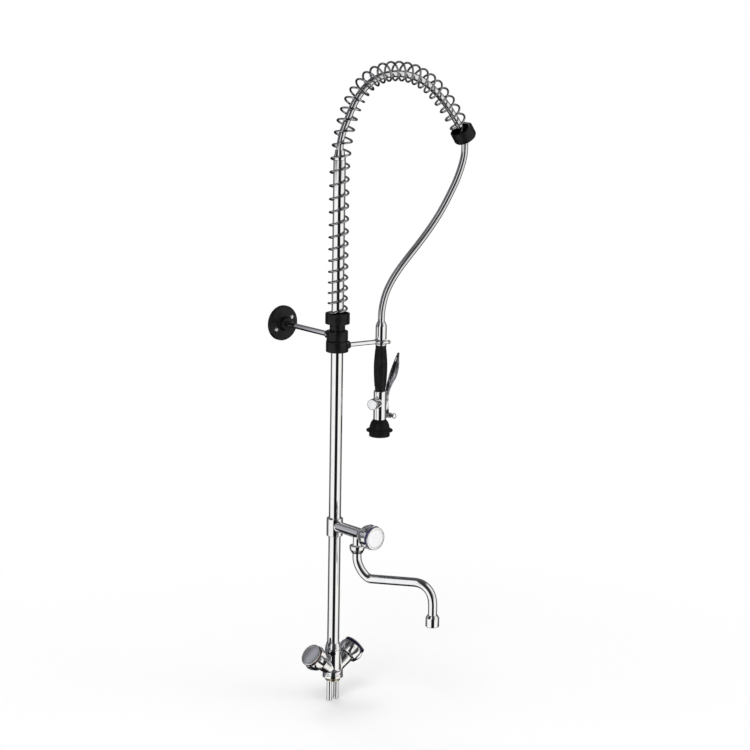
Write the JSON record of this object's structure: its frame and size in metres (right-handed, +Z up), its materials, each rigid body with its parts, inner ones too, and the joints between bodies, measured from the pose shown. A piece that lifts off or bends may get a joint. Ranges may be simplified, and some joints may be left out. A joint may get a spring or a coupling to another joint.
{
  "type": "pre rinse faucet",
  "caption": "Deck mixer with a tall riser, swing spout, wall bracket and a sprung hose that carries a hand spray on a hook.",
  "frame": {"origin": "centre of the seat on the deck, on the riser's axis, at the deck's top face", "axes": "+Z up along the riser, +Y towards the wall bracket's flange, -Y along the spout tap's arm, +X through the cold tap"},
  "size_m": [0.3566, 0.3609, 1.2062],
  "materials": {
    "chrome": "polished",
    "brass": "satin",
    "black_plastic": "semi gloss",
    "black_rubber": "satin",
    "white_plastic": "gloss",
    "blue_plastic": "gloss",
    "red_plastic": "gloss",
    "steel": "brushed",
    "hose_grey": "braided steel over rubber"
  },
  "bodies": {
    "column": {"mixer_body": "chrome", "base_ring": "chrome", "deck_seal": "black_rubber", "body_spigot": "brass", "inlet_tube_hot": "chrome", "inlet_tube_cold": "chrome", "riser_nut": "chrome", "riser_set_screw": "black_plastic", "riser_lower": "chrome", "tee_body": "chrome", "riser_upper": "chrome", "hot_cartridge": "brass", "cold_cartridge": "brass", "tap_cartridge": "brass", "spout_nut": "chrome", "wall_bracket_ring": "black_plastic", "wall_bracket_screw": "steel", "wall_rod": "chrome", "wall_flange": "black_plastic", "wall_screw_upper": "steel", "wall_screw_lower": "steel"},
    "hot_tap": {"hot_spindle": "brass", "hot_knob": "chrome", "hot_index_ring": "red_plastic", "hot_bezel": "chrome", "hot_index_disc": "white_plastic"},
    "cold_tap": {"cold_spindle": "brass", "cold_knob": "chrome", "cold_index_ring": "blue_plastic", "cold_bezel": "chrome", "cold_index_disc": "white_plastic"},
    "spout_tap": {"tap_spindle": "brass", "tap_knob": "chrome", "tap_index_ring": "blue_plastic", "tap_bezel": "chrome", "tap_index_disc": "white_plastic"},
    "spout": {"spout_tube": "chrome", "spout_o_ring": "black_rubber", "aerator_housing": "chrome", "aerator_insert": "steel"},
    "hook": {"hook_collar": "black_plastic", "hook_fork": "chrome"},
    "gantry": {"spring_seat": "black_plastic", "spring": "chrome", "hose_union": "chrome", "hose_in_spring": "hose_grey", "spring_end_cap": "black_plastic", "hose_free": "hose_grey"},
    "hose_end": {"hose_ferrule": "chrome"},
    "handset": {"grip": "black_plastic", "valve_body": "chrome", "valve_bonnet": "chrome", "valve_spring": "steel", "lever_pin": "steel", "bumper": "black_rubber", "spray_face": "steel"},
    "squeeze_lever": {"lever": "chrome"},
    "stem": {"valve_stem": "steel"},
    "keeper": {"keeper_ring": "steel"}
  },
  "joints": [
    {"name": "hot_turn", "type": "hinge", "parent": "column", "child": "hot_tap", "pos_m": [0, 0, 0.01], "axis": [-0.788, 0, 0.6157], "range_deg": [0, 90]},
    {"name": "cold_turn", "type": "hinge", "parent": "column", "child": "cold_tap", "pos_m": [0, 0, 0.01], "axis": [0.788, 0, 0.6157], "range_deg": [0, 90]},
    {"name": "spout_tap_turn", "type": "hinge", "parent": "column", "child": "spout_tap", "pos_m": [0, -0.049, 0.2955], "axis": [0, -1, 0], "range_deg": [0, 90]},
    {"name": "spout_swing", "type": "hinge", "parent": "column", "child": "spout", "pos_m": [0, -0.066, 0.26], "axis": [0, 0, 1], "range_deg": [-190, 116]},
    {"name": "gantry_swing", "type": "hinge", "parent": "column", "child": "gantry", "pos_m": [0, 0, 0.69], "axis": [0, 0, 1], "range_deg": [-180, 35]},
    {"name": "hook_swing", "type": "hinge", "parent": "column", "child": "hook", "pos_m": [0, 0, 0.639], "axis": [0, 0, 1], "range_deg": [-180, 35]},
    {"name": "handset_pull", "type": "slide", "parent": "gantry", "child": "hose_end", "axis": [0.9877, -0.1564, 0], "range_m": [0, 0.05], "deforming": ["hose_free"]},
    {"name": "handset_swivel", "type": "hinge", "parent": "hose_end", "child": "handset", "pos_m": [0.09383, -0.01486, 0.6315], "axis": [0, 0, 1], "continuous": true},
    {"name": "lever_squeeze", "type": "hinge", "parent": "handset", "child": "squeeze_lever", "pos_m": [0.1203, -0.00575, 0.493], "axis": [0.3256, -0.9455, 0], "range_deg": [0, 9], "stiffness_Nm_per_rad": 1.5, "springref_deg": -5.73},
    {"name": "stem_push", "type": "slide", "parent": "handset", "child": "stem", "axis": [-0.9455, -0.3256, 0], "range_m": [0, 0.0052], "deforming": ["valve_spring"]},
    {"name": "keeper_swing", "type": "hinge", "parent": "handset", "child": "keeper", "pos_m": [0.12376, -0.01577, 0.493], "axis": [0, 0, 1], "range_deg": [-40, 40]}
  ],
  "couplings": [
    {"joint": "hook_swing", "follows": "gantry_swing", "ratio": 1},
    {"joint": "stem_push", "follows": "lever_squeeze", "m_per_rad": 0.032}
  ]
}
